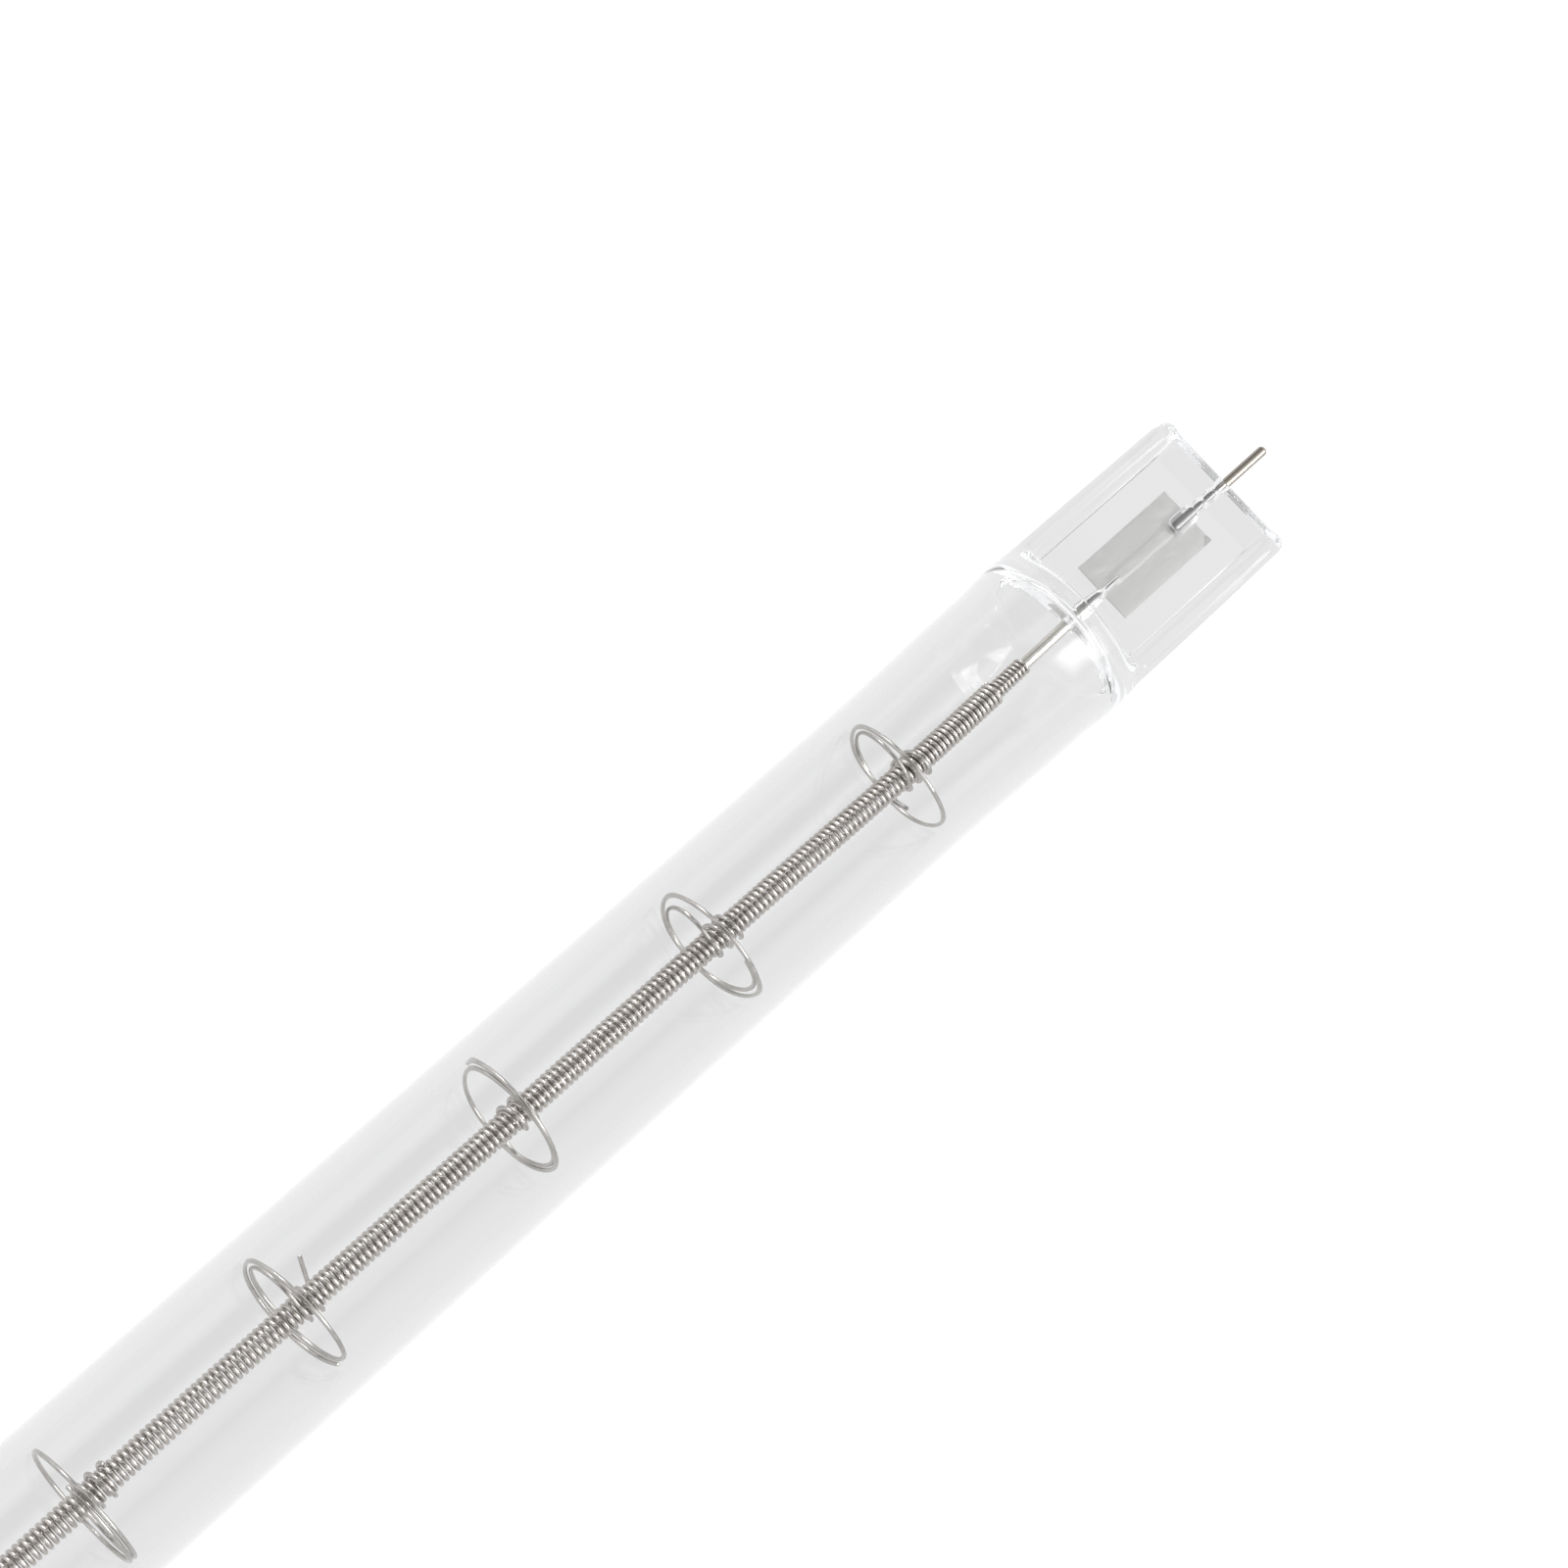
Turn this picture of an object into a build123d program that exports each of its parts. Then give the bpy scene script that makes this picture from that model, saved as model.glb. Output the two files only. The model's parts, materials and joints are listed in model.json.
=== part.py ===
"""Quartz heating tube: a clear, double-ended, pinch-sealed tube with a tungsten coil along its axis.

Millimetres. X runs along the tube, Z is square to the flat seals, and the origin is the tube's centre.
Each end is built once at the +X end, and turned half a turn about Z for the -X end.
"""
import math
import os

from build123d import *

# Quartz tube
glass_length = 204.0
tube_diameter = 10.0
tube_wall = 1.0
flare_length = 14.0
flare_width = 10.45
flare_height = 9.8
bulge_length = 3.5
shoulder_width = 10.8
shoulder_height = 9.5
shoulder_length = 0.9
shoulder_round = 1.1
cavity_tip_width = 5.2
cavity_tip_height = 0.8
dome_bands = 3

# Pinch seal at each end of the tube
seal_length = 13.3
seal_width = 10.5
seal_end_width = 10.35
seal_corner_radius = 0.9
web_thickness = 2.4
rib_thickness = 3.2
rib_width = 1.4
rib_round = 0.3
rib_slope = 0.35

# Molybdenum foil in the seal
foil_length = 7.7
foil_width = 4.0
foil_thickness = 0.04
foil_to_end = 3.1

# Contact pin, welded to the outer end of the foil
pin_diameter = 0.6
pin_reach = 4.0
pin_on_foil = 1.4
pin_tip_round = 0.24
pin_bore_diameter = 0.75
pin_pocket_width = 1.1
pin_pocket_length = 1.7

# Inner lead, welded to the inner end of the foil
lead_diameter = 0.7
lead_on_foil = 1.5
lead_void = 0.02

# Spud coil, wound on the lead and screwed into the filament
spud_wire = 0.19
spud_to_end = 17.8
spud_length = 10.4
lead_in_spud = 9.8

# Filament
filament_wire = 0.2
filament_to_end = 20.3
coil_gap = 0.01

# Wire supports that carry the filament off the tube: five shapes in turn from the +X end, each slipped,
# turned and leant a little by hand as it was fitted
support_wire = 0.25
support_pitch = 14.7
support_margin = 28.0
support_clearance = 0.3
slips = (0.3, -0.3, -0.2, -0.6, -0.1)
start_angles = (240, 129, 12, 193, 75)
ring_turns = (1.22, 1.48, 1.63, 1.42, 1.35)
spoke_turns = (0.49, 0.41, 0.17, 0.3, 0.35)
top_leans = (6.5, 0.0, -3.3, -2.3, 1.0)
side_leans = (0.5, 2.0, -0.5, 3.0, 1.0)
ring_pitch = 0.3
grip_turns = 1.75
grip_pitch = 0.8
nearby = 0.01
wire_side_count = 5
bends_per_turn = 15
grip_bends = 14

# Sizes that follow
seal_start = glass_length / 2 - seal_length
shoulder_start = seal_start - shoulder_round
flare_start = shoulder_start - flare_length
cavity_end = shoulder_start - shoulder_length
bore_diameter = tube_diameter - 2 * tube_wall
foil_end = glass_length / 2 - foil_to_end
foil_start = foil_end - foil_length
foil_top = -lead_diameter / 2
pin_start = foil_end - pin_on_foil
pin_height = foil_top + pin_diameter / 2
lead_end = foil_start + lead_on_foil
spud_end = glass_length / 2 - spud_to_end
spud_start = spud_end - spud_length
lead_start = spud_end - lead_in_spud
spud_bore = lead_diameter + 2 * coil_gap
spud_diameter = spud_bore + 2 * spud_wire
filament_bore = spud_diameter + 2 * coil_gap
filament_diameter = filament_bore + 2 * filament_wire
filament_length = glass_length - 2 * filament_to_end
support_count = math.floor((glass_length - 2 * support_margin) / support_pitch) + 1
ring_radius = bore_diameter / 2 - support_clearance - support_wire / 2
grip_reach = filament_diameter / 2 + coil_gap + support_wire / 2
grip_radius = grip_reach / math.cos(math.pi * grip_turns / grip_bends)


def across(x, z=0.0):
    """A sketch plane square to the tube at x, with its own x along Y and its own y along Z."""
    return Plane(origin=(x, 0, z), x_dir=(0, 1, 0), z_dir=(1, 0, 0))


def rod(diameter, start, end, z=0.0):
    """A round rod along X from start to end."""
    return extrude(across(start, z=z) * Circle(diameter / 2), end - start)


def sleeve(outer, bore, start, end):
    """A round tube along X from start to end."""
    return extrude(across(start) * (Circle(outer / 2) - Circle(bore / 2)), end - start)


def other_end(solid):
    """The same piece at the -X end of the tube."""
    return Rot(0, 0, 180) * solid


def oval(x, width, height):
    """An oval section of the softened tube at x."""
    return across(x) * Ellipse(width / 2, height / 2)


def flare(wall):
    """The softened end of the tube, wall inside its outer skin: it spreads and sinks, then bulges."""
    sections = [
        oval(flare_start, tube_diameter - 2 * wall, tube_diameter - 2 * wall),
        oval(shoulder_start - bulge_length, flare_width - 2 * wall, flare_height - 2 * wall),
        oval(cavity_end, shoulder_width - 2 * wall, shoulder_height - 2 * wall),
    ]
    return loft(sections, ruled=True)


def dome(width, height, end_width, end_height, start):
    """The rounded end of an oval tube where the jaws pressed it flat, as a quarter turn of an ellipse."""
    sections = []
    for band in range(dome_bands + 1):
        angle = math.radians(90 * band / dome_bands)
        wide = end_width + math.cos(angle) * (width - end_width)
        high = end_height + math.cos(angle) * (height - end_height)
        sections.append(oval(start + math.sin(angle) * shoulder_round, wide, high))
    return loft(sections, ruled=True)


def seal_section():
    """Section of the seal: a flat web between two thicker side ribs."""
    half_width = seal_width / 2
    rib_foot = half_width - rib_width
    rib_edge = rib_foot + rib_slope
    web = web_thickness / 2
    rib = rib_thickness / 2
    upper_right = [(0, web), (rib_foot, web), (rib_edge, rib), (half_width, rib), (half_width, 0)]
    quarter = make_face(Polyline((0, 0), *upper_right, (0, 0)))
    half = quarter + mirror(quarter, Plane.YZ)
    whole = half + mirror(half, Plane.XZ)
    corners = whole.vertices().filter_by(lambda v: abs(v.Y) > web and abs(v.X) > rib_foot)
    return fillet(corners, rib_round)


def seal_block():
    """The pinch seal, with its narrower end face and rounded corners in plan."""
    body = extrude(across(shoulder_start) * seal_section(), glass_length / 2 - shoulder_start)
    inner = shoulder_start
    outer = glass_length / 2
    half_in = seal_width / 2
    half_out = seal_end_width / 2
    outline = [(inner, -half_in), (outer, -half_out), (outer, half_out), (inner, half_in)]
    plan = make_face(Polyline(*outline, close=True))
    plan = fillet(plan.vertices().filter_by(lambda v: v.X > seal_start), seal_corner_radius)
    return body & extrude(plan, rib_thickness, both=True)


def foil():
    """The strip of molybdenum foil, with its top face under the lead and the pin."""
    strip = Box(foil_length, foil_width, foil_thickness)
    return Pos((foil_start + foil_end) / 2, 0, foil_top - foil_thickness / 2) * strip


def contact_pin():
    """The round pin that stands out of the end face, with a rounded tip."""
    pin = rod(pin_diameter, pin_start, glass_length / 2 + pin_reach, z=pin_height)
    return fillet(pin.edges().sort_by(Axis.X)[-1], pin_tip_round)


def inner_lead():
    """The rod from the foil into the filament's end."""
    return rod(lead_diameter, lead_start, lead_end)


def spud_coil():
    """The close-wound coil on the lead, as the tube that its turns fill."""
    return sleeve(spud_diameter, spud_bore, spud_start, spud_end)


def seal_voids():
    """What the quartz leaves free round the foil, the pin and the lead."""
    lead_bore = rod(lead_diameter + 2 * lead_void, cavity_end, lead_end + lead_void)
    pin_bore = rod(pin_bore_diameter, pin_start, glass_length / 2 + pin_reach, z=pin_height)
    pocket_mouth = across(pin_start - lead_void, z=pin_height) * SlotOverall(pin_pocket_width, pin_bore_diameter)
    return [foil(), lead_bore, pin_bore, extrude(pocket_mouth, pin_pocket_length)]


def quartz_envelope():
    """The quartz tube with both its ends pressed flat, as one piece."""
    outside = rod(tube_diameter, 0, flare_start) + flare(0)
    outside += extrude(oval(cavity_end, shoulder_width, shoulder_height), shoulder_length)
    outside += dome(shoulder_width, shoulder_height, seal_width - rib_width, web_thickness, shoulder_start)
    outside += seal_block()
    cavity_width = shoulder_width - 2 * tube_wall
    cavity_height = shoulder_height - 2 * tube_wall
    inside = rod(bore_diameter, 0, flare_start) + flare(tube_wall)
    inside += dome(cavity_width, cavity_height, cavity_tip_width, cavity_tip_height, cavity_end)
    half = outside - inside
    for void in seal_voids():
        half -= void
    return half + other_end(half)


def support_point(turns, station, start_angle, ring, spoke, top_lean, side_lean):
    """Point on a support's centre line, turns along the wire from its free end.

    The radius eases from the ring to the grip over the spoke. The wire climbs by ring_pitch in each turn,
    from the ring's middle at the station, and by grip_pitch in the grip. The ring leans along the tube at
    its top and its side.
    """
    inward = min(max((turns - ring) / spoke, 0.0), 1.0)
    ease = inward * inward * (3 - 2 * inward)
    radius = ring_radius + ease * (grip_radius - ring_radius)
    angle = math.radians(start_angle) + 2 * math.pi * turns
    y = radius * math.cos(angle)
    z = radius * math.sin(angle)
    lean = z * math.tan(math.radians(top_lean)) + y * math.tan(math.radians(side_lean))
    gripped = max(turns - ring - spoke, 0.0)
    climb = ring_pitch * (turns - gripped - ring / 2) + grip_pitch * gripped
    return Vector(station + climb - (1 - ease) * lean, y, z)


def support(station, start_angle, ring, spoke, top_lean, side_lean):
    """One wire support: ring turns near the wall, a spoke that closes in, and turns that grip the coil."""
    ring_bends = math.ceil(ring * bends_per_turn)
    spoke_bends = math.ceil(spoke * bends_per_turn)
    bends = [ring * step / ring_bends for step in range(ring_bends)]
    bends += [ring + spoke * step / spoke_bends for step in range(spoke_bends)]
    bends += [ring + spoke + grip_turns * step / grip_bends for step in range(grip_bends + 1)]
    fitted = (station, start_angle, ring, spoke, top_lean, side_lean)
    sections = []
    for turns in bends:
        before = support_point(turns - nearby, *fitted)
        after = support_point(turns + nearby, *fitted)
        plane = Plane(origin=support_point(turns, *fitted), x_dir=(1, 0, 0), z_dir=after - before)
        sections.append(plane * RegularPolygon(support_wire / 2, wire_side_count))
    return loft(sections, ruled=True)


def all_parts():
    """Every piece of the tube by name."""
    parts = {"quartz_envelope": quartz_envelope()}
    half_filament = filament_length / 2
    parts["filament_coil"] = sleeve(filament_diameter, filament_bore, -half_filament, half_filament)
    for name, make in (("contact_pin", contact_pin), ("foil", foil), ("inner_lead", inner_lead),
                       ("spud_coil", spud_coil)):
        piece = make()
        parts[name + "_right"] = piece
        parts[name + "_left"] = other_end(piece)
    for index in range(support_count):
        shape = index % len(slips)
        station = ((support_count - 1) / 2 - index) * support_pitch + slips[shape]
        fitted = [kinds[shape] for kinds in (start_angles, ring_turns, spoke_turns, top_leans, side_leans)]
        parts[f"support_{index + 1:02d}"] = support(station, *fitted)
    return parts


os.makedirs("parts", exist_ok=True)
for name, shape in all_parts().items():
    export_step(shape, f"parts/{name}.step")
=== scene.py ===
"""Quartz heating tube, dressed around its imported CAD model. Sizes are millimetres until a mesh is made."""
import json
import math

import bmesh
import bpy
import numpy as np
from mathutils import Matrix, Vector

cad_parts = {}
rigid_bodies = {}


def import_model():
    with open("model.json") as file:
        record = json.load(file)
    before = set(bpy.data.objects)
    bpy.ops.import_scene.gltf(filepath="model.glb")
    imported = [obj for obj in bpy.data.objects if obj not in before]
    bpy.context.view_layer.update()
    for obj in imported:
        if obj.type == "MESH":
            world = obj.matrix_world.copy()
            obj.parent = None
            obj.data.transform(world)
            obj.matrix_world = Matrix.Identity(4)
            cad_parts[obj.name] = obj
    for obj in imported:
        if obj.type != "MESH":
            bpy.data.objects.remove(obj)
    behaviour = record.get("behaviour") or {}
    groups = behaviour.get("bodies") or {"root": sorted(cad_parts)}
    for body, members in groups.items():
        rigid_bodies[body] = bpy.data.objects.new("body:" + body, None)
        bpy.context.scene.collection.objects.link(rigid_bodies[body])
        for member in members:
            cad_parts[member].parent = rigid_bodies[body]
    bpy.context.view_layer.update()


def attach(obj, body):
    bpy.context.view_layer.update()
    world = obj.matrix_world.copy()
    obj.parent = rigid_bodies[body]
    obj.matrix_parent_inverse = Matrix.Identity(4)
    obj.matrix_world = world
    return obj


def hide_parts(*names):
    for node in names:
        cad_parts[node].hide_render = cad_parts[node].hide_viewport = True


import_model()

# The quartz tube is one piece of clear glass: a drawn round barrel, softened at each end, where the heat
# let it spread a little, and pressed flat between jaws into a seal with two side ribs.
# Its end faces are cut and fire-polished, so every edge is slightly round.
barrel_radius = 5.0
barrel_half_height = 4.985
wall = 1.0
side_spread, spread_start, spread_end = 0.235, 73.0, 84.1
bulge, bulge_end = 0.165, 86.6
spread_sink, bulge_sink, bulge_sink_start = 0.1, 0.15, 83.2
shoulder_start = 87.4
seal_start = 89.3
end_face = 102.0
seal_half_width, seal_end_half_width = 5.25, 5.175
web_half = 1.2
rib_half = 1.6
rib_foot, rib_edge = 3.7, 4.4
rib_corner = 0.6
rib_melt, rib_melt_start = 0.32, 99.8
end_edge, end_inset = 0.8, 0.56
upper_corner, lower_corner = 1.3, 1.0
corner_foot, corner_top = 3.0, 5.0


def ease(value, low, high):
    """0 below low, 1 above high, and 3t^2 - 2t^3 between them."""
    t = np.clip((value - low) / (high - low), 0.0, 1.0)
    return t * t * (3 - 2 * t)


def bell(value, middle, reach):
    """A bell curve: 1 at the middle, and e to the minus square of the distance over the reach elsewhere."""
    return np.exp(-((value - middle) / reach) ** 2)


def oval_half_width(x):
    """Half width of the softened tube: the barrel's radius, plus a long spread and a short bulge."""
    wide = barrel_radius + side_spread * ease(x, spread_start, spread_end)
    return wide + bulge * ease(x, spread_end, bulge_end)


def oval_half_height(x):
    """Half height of the softened tube, which sinks as its sides spread."""
    sunk = spread_sink * ease(x, spread_start, spread_end)
    return barrel_half_height - sunk - bulge_sink * ease(x, bulge_sink_start, shoulder_start)


def rib_half_at(x):
    """Half thickness of the ribs at x: they melt down towards the web over the last 2 mm."""
    return rib_half - rib_melt * ease(x, rib_melt_start, end_face)


def seal_profile(y, rib):
    """Half thickness of the seal at y: the web, and an eased step up to the rib."""
    return web_half + (rib - web_half) * ease(np.abs(y), rib_foot, rib_edge)


def corner_cut(x, radius):
    """How far the seal's side stands in at x, where its end corner is a quarter circle of that radius."""
    into = np.clip(x - (end_face - radius), 0.0, radius)
    return radius - np.sqrt(radius * radius - into * into)


def seal_section(half_width, rib):
    """Quarter section from the side's middle to the top's middle, as arrays of y and z.

    Up the side wall, a quarter circle at the rib's corner, then over the rib and the web.
    """
    side = np.linspace(0.0, rib - rib_corner, 7)[:-1]
    turn = np.radians(np.linspace(0.0, 90.0, 7))
    over_rib = np.linspace(0.0, 1.0, 5)[1:]
    over_step = np.linspace(rib_edge, rib_foot, 9)[1:]
    over_web = rib_foot * np.cos(np.radians(np.linspace(0.0, 90.0, 19)[1:]))
    inner = half_width - rib_corner
    y = np.concatenate([
        np.full(side.shape, half_width),
        inner + rib_corner * np.cos(turn),
        inner + over_rib * (rib_edge - inner),
        over_step,
        over_web,
    ])
    z = np.concatenate([
        side,
        rib - rib_corner + rib_corner * np.sin(turn),
        np.full(over_rib.shape, rib),
        seal_profile(over_step, rib),
        seal_profile(over_web, rib),
    ])
    return y, z


def whole_turn(y, z):
    """Mirrors a quarter section into a closed ring of points, counter-clockwise from the +Y side."""
    top_y = np.concatenate([y, -y[-2::-1]])
    top_z = np.concatenate([z, z[-2::-1]])
    return np.concatenate([top_y, top_y[-2:0:-1]]), np.concatenate([top_z, -top_z[-2:0:-1]])


def inset(y, z, depth):
    """Moves a closed ring of points inward by depth, square to the line through each one's neighbours."""
    along_y = np.roll(y, -1) - np.roll(y, 1)
    along_z = np.roll(z, -1) - np.roll(z, 1)
    length = np.hypot(along_y, along_z)
    return y - depth * along_z / length, z + depth * along_y / length


def outer_ring(x, depth=0.0):
    """The tube's outer section at x >= 0, inset by depth.

    Each point of the oval moves to its point of the seal's section over the shoulder, its share left being
    (1 - t^2)^2. The end corners are cut off in plan.
    """
    half_width = seal_half_width + (seal_end_half_width - seal_half_width) * ease(x, seal_start, end_face)
    seal_y, seal_z = seal_section(half_width, rib_half_at(x))
    angle = np.arccos(np.clip(seal_y / half_width, 0.0, 1.0))
    corner_end = np.count_nonzero(seal_y > half_width - rib_corner - 1e-6)
    angle[:corner_end] = np.linspace(0.0, angle[corner_end - 1], corner_end)
    oval_y = oval_half_width(x) * np.cos(angle)
    oval_z = oval_half_height(x) * np.sin(angle)
    into = np.clip((x - shoulder_start) / (seal_start - shoulder_start), 0.0, 1.0)
    left = (1 - into ** 2) ** 2
    y = seal_y + (oval_y - seal_y) * left
    z = seal_z + (oval_z - seal_z) * left
    y, z = whole_turn(y, z)
    upper_cut = corner_cut(x, upper_corner) * ease(y, corner_foot, corner_top)
    lower_cut = corner_cut(x, lower_corner) * ease(-y, corner_foot, corner_top)
    y = y - upper_cut + lower_cut
    return inset(y, z, depth) if depth else (y, z)


def grid_faces(rows, columns):
    """Quads between neighbouring rows of a grid of points whose rows are closed rings."""
    row = np.arange(rows - 1)[:, None]
    column = np.arange(columns)[None, :]
    after = (column + 1) % columns
    corners = [row * columns + column, row * columns + after,
               (row + 1) * columns + after, (row + 1) * columns + column]
    return np.stack([np.broadcast_to(c, (rows - 1, columns)) for c in corners], axis=-1).reshape(-1, 4)


def make_piece(name, shells, nodes, material):
    """One smooth mesh object from shells of (points in mm, faces), riding on the root body."""
    points, faces, start = [], [], 0
    for shell_points, shell_faces in shells:
        flat = np.asarray(shell_points, float).reshape(-1, 3)
        points.append(flat)
        faces.append(np.asarray(shell_faces) + start)
        start += len(flat)
    mesh = bpy.data.meshes.new(name)
    mesh.from_pydata((np.concatenate(points) * 0.001).tolist(), [], np.concatenate(faces).tolist())
    shape = bmesh.new()
    shape.from_mesh(mesh)
    bmesh.ops.remove_doubles(shape, verts=shape.verts, dist=1e-7)
    bmesh.ops.dissolve_degenerate(shape, edges=shape.edges, dist=1e-8)
    shape.to_mesh(mesh)
    shape.free()
    mesh.polygons.foreach_set("use_smooth", np.ones(len(mesh.polygons), bool))
    mesh.update()
    piece = bpy.data.objects.new(name, mesh)
    bpy.context.scene.collection.objects.link(piece)
    mesh.materials.append(material)
    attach(piece, "root")
    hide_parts(*nodes)
    return piece


def other_end(points):
    """The same points turned half a turn about Z, for the end of the tube that the photo doesn't show."""
    return points * np.array([-1.0, -1.0, 1.0])


def outer_skin():
    """The whole outside: rings along one end, its rounded edge and closed face, then the other end alike."""
    shoulder_length = seal_start - shoulder_start
    before_edge = 1.4
    along = np.concatenate([
        np.linspace(0.0, spread_start - 1.0, 13),
        np.linspace(spread_start, spread_end - 0.3, 30),
        np.linspace(spread_end, shoulder_start, 30),
        shoulder_start + shoulder_length * (1 - np.cos(np.linspace(0, np.pi, 21))[1:]) / 2,
        np.linspace(seal_start + 0.3, end_face - before_edge, 14),
        end_face - end_edge - (before_edge - end_edge) * np.cos(np.radians(np.linspace(0, 90, 9)[1:])),
    ])
    rings = [np.stack(np.broadcast_arrays(x, *outer_ring(x)), axis=-1) for x in along]
    for turn in np.radians(np.linspace(0, 90, 13)[1:]):
        x = end_face - end_edge + end_edge * math.sin(turn)
        y, z = outer_ring(end_face - end_edge, end_inset * (1 - math.cos(turn)))
        rings.append(np.stack(np.broadcast_arrays(x, y, z), axis=-1))
    last = rings[-1]
    for share in np.linspace(1, 0, 6)[1:]:
        rings.append(last * np.array([1.0, 1.0, share]))
    half = np.array(rings)
    faces = grid_faces(half.shape[0], half.shape[1])
    return [(half, faces), (other_end(half), faces)]


funnel_start, funnel_end = 86.3, 87.9
channel_end, channel_round = 92.75, 0.3
channel_radius = 0.42
channel_swell, swell_middle, swell_reach = 0.07, 90.1, 0.35
channel_neck, neck_start, neck_end = 0.045, 88.2, 89.2
channel_pinch, pinch_start, pinch_end = 0.2, 90.8, 91.6
floor_on_foil = -0.345
floor_start, floor_end = 90.6, 98.95


def cavity_skin():
    """The wall of the space inside: a round bore whose end closes in on the lead's narrow channel.

    Its half width and height fall as a quarter ellipse to the channel, which has one bell-shaped swell and
    follows the lead on to the foil. It stays above the foil, narrower and lower where the lead is pinched.
    """
    along = np.concatenate([
        np.linspace(0.0, spread_start - 1.0, 7),
        np.linspace(spread_start + 1.0, funnel_start - 0.5, 14),
        funnel_start + (funnel_end - funnel_start) * np.sin(np.radians(np.linspace(0, 90, 25))),
        np.linspace(funnel_end + 0.15, channel_end - channel_round, 22),
        channel_end - channel_round * (1 - np.sin(np.radians(np.linspace(0, 90, 6)[1:]))),
    ])
    around = np.linspace(0, 2 * np.pi, 96, endpoint=False)
    into = np.clip((along - funnel_start) / (funnel_end - funnel_start), 0.0, 1.0)
    left = np.sqrt(1 - into ** 2)
    pinched = channel_pinch * ease(along, pinch_start, pinch_end)
    swell = channel_swell * bell(along, swell_middle, swell_reach)
    channel = channel_radius + swell - channel_neck * ease(along, neck_start, neck_end) - pinched
    closing = np.clip((along - channel_end + channel_round) / channel_round, 0.0, 1.0)
    channel = channel * np.sqrt(1 - closing ** 2)
    half_width = channel + (oval_half_width(along) - wall - channel) * left
    half_height = channel + (oval_half_height(along) - wall - channel) * left
    y = half_width[:, None] * np.cos(around)
    z = half_height[:, None] * np.sin(around) - pinched[:, None]
    z = np.where(along[:, None] > floor_start, np.maximum(z, floor_on_foil), z)
    half = np.stack(np.broadcast_arrays(along[:, None], y, z), axis=-1)
    faces = grid_faces(half.shape[0], half.shape[1])[:, ::-1]
    return [(half, faces), (other_end(half), faces)]


pocket_start, pocket_end, pocket_round = 97.45, 99.25, 0.25
pocket_half_width, pocket_half_height = 0.58, 0.37
pocket_squareness = 0.6
pin_height = -0.05
bore_radius, bore_swell = 0.335, 0.12
bore_swells = ((99.85, 0.95), (100.85, 1.05), (101.85, 0.9))


def pin_channel_skin():
    """The space left round the pin: a flat pocket on the foil, then a bore with three swells.

    The pocket's section is a superellipse, its inner end a quarter circle, and each swell a raised cosine
    about its middle. The void ends just inside the end face, where the pin closes it.
    """
    stop = end_face - 0.02
    along = np.concatenate([
        pocket_start + pocket_round * (1 - np.cos(np.radians(np.linspace(0, 90, 9)))),
        np.linspace(pocket_start + pocket_round + 0.07, pocket_end, 12),
        np.linspace(pocket_end + 0.05, stop, 50),
        [stop],
    ])
    around = np.linspace(0, 2 * np.pi, 48, endpoint=False)
    front = (1 - np.clip((pocket_start + pocket_round - along) / pocket_round, 0.0, 1.0) ** 2) ** 0.5
    bore = bore_radius + bore_swell * sum(
        np.cos(np.pi * np.clip((along - middle) / reach, -0.5, 0.5)) ** 2 for middle, reach in bore_swells)
    pocket = 1 - ease(along, pocket_end - 0.15, pocket_end + 0.15)
    half_width = (bore + (pocket_half_width - bore) * pocket) * front
    half_height = (bore + (pocket_half_height - bore) * pocket) * front
    half_width[-1] = half_height[-1] = 0.0
    square = 1 - pocket_squareness * pocket[:, None]
    y = half_width[:, None] * np.sign(np.cos(around)) * np.abs(np.cos(around)) ** square
    z = half_height[:, None] * np.sign(np.sin(around)) * np.abs(np.sin(around)) ** square + pin_height
    z = np.where(along[:, None] < floor_end, np.maximum(z, floor_on_foil), z)
    half = np.stack(np.broadcast_arrays(along[:, None], y, z), axis=-1)
    faces = grid_faces(half.shape[0], half.shape[1])[:, ::-1]
    return [(half, faces), (other_end(half), faces)]


def shader_group(name, inputs, outputs):
    """An empty shader group with its named sockets, and its own input and output nodes."""
    group = bpy.data.node_groups.new(name, "ShaderNodeTree")
    for direction, sockets in (("INPUT", inputs), ("OUTPUT", outputs)):
        for socket, kind in sockets.items():
            group.interface.new_socket(socket, in_out=direction, socket_type="NodeSocket" + kind)
    return group, group.nodes.new("NodeGroupInput"), group.nodes.new("NodeGroupOutput")


def placed(material, group, **values):
    """A shader group in a material, with that material's own values. An underscore stands for a space."""
    node = material.node_tree.nodes.new("ShaderNodeGroup")
    node.node_tree = group
    for name, value in values.items():
        node.inputs[name.replace("_", " ")].default_value = value
    return node


def streaks_group():
    """Noise on Object coordinates, as a value from 0 to 1.

    Scale is in waves a metre along and across the tube, and Roughness is the share of the finer waves.
    """
    group, given, out = shader_group("drawn_streaks", {"Scale": "Vector", "Roughness": "Float"},
                                     {"Value": "Float"})
    nodes, links = group.nodes, group.links
    place = nodes.new("ShaderNodeTexCoord")
    stretch = nodes.new("ShaderNodeMapping")
    noise = nodes.new("ShaderNodeTexNoise")
    noise.inputs["Scale"].default_value = 1.0
    noise.inputs["Detail"].default_value = 3.0
    links.new(given.outputs["Scale"], stretch.inputs["Scale"])
    links.new(given.outputs["Roughness"], noise.inputs["Roughness"])
    links.new(place.outputs["Object"], stretch.inputs["Vector"])
    links.new(stretch.outputs["Vector"], noise.inputs["Vector"])
    links.new(noise.outputs["Fac"], out.inputs["Value"])
    return group


drawn_streaks = streaks_group()


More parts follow.
